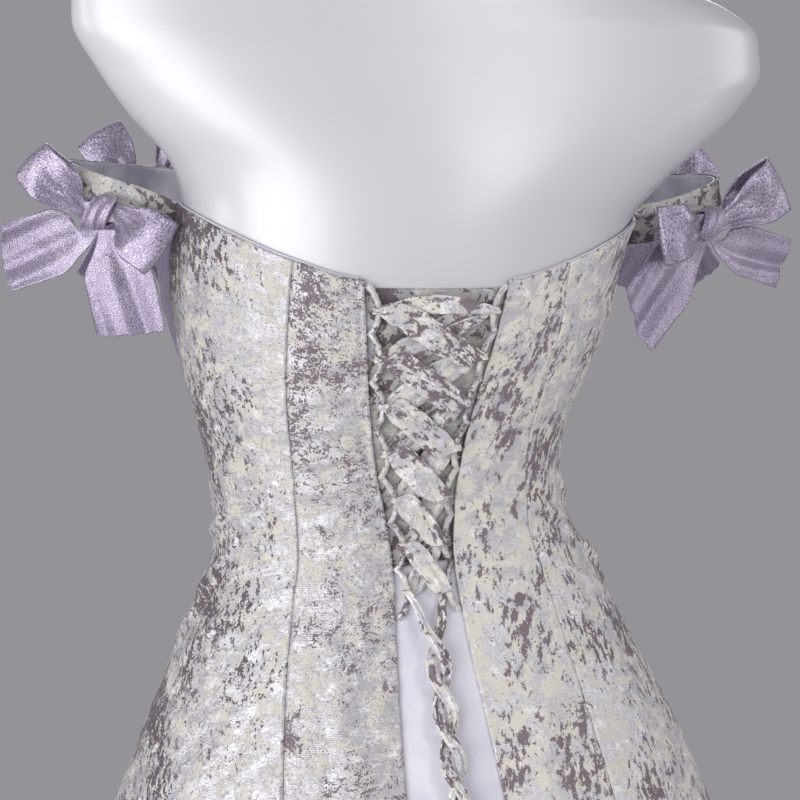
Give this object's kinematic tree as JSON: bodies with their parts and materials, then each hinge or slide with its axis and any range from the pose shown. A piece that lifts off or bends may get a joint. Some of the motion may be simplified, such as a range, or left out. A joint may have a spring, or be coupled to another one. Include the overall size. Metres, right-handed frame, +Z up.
{
  "type": "evening dress on dress form",
  "caption": "Laced off-the-shoulder evening dress in flecked brocade with lavender satin bodice and ribbon bows, on a smooth armless dress form with a round stand.",
  "frame": {"origin": "centre of the underside of the stand's round foot, on the floor", "axes": "+Z up, the wearer's front faces -Y, the laced back faces +Y, the wearer's left side is +X"},
  "size_m": [1.0886, 0.9966, 1.534],
  "materials": {
    "brocade": "flecked jacquard with a soft sheen",
    "satin": "lavender satin",
    "strap_lining": "grey-lavender satin",
    "form_skin": "smooth white",
    "stand_metal": "brushed"
  },
  "bodies": {
    "root": {"back_centre_left": "brocade", "back_centre_right": "brocade", "back_side_left": "brocade", "back_side_right": "brocade", "bodice_front": "satin", "bodice_side_front_left": "satin", "bodice_side_front_right": "satin", "bow_knot_back_left": "satin", "bow_knot_back_right": "satin", "bow_knot_front_left": "satin", "bow_knot_front_right": "satin", "bow_loops_back_left": "satin", "bow_loops_back_right": "satin", "bow_loops_front_left": "satin", "bow_loops_front_right": "satin", "bow_tail_back_left_1": "satin", "bow_tail_back_left_2": "satin", "bow_tail_back_right_1": "satin", "bow_tail_back_right_2": "satin", "bow_tail_front_left_1": "satin", "bow_tail_front_left_2": "satin", "bow_tail_front_right_1": "satin", "bow_tail_front_right_2": "satin", "form_torso": "form_skin", "lace": "brocade", "lace_loops_left": "brocade", "lace_loops_right": "brocade", "modesty_panel": "brocade", "skirt_front": "brocade", "skirt_side_front_left": "brocade", "skirt_side_front_right": "brocade", "stand_collar": "stand_metal", "stand_foot": "stand_metal", "stand_pole": "stand_metal", "strap_left": "brocade", "strap_lining_left": "strap_lining", "strap_lining_right": "strap_lining", "strap_right": "brocade", "underskirt_back": "satin"}
  },
  "joints": []
}
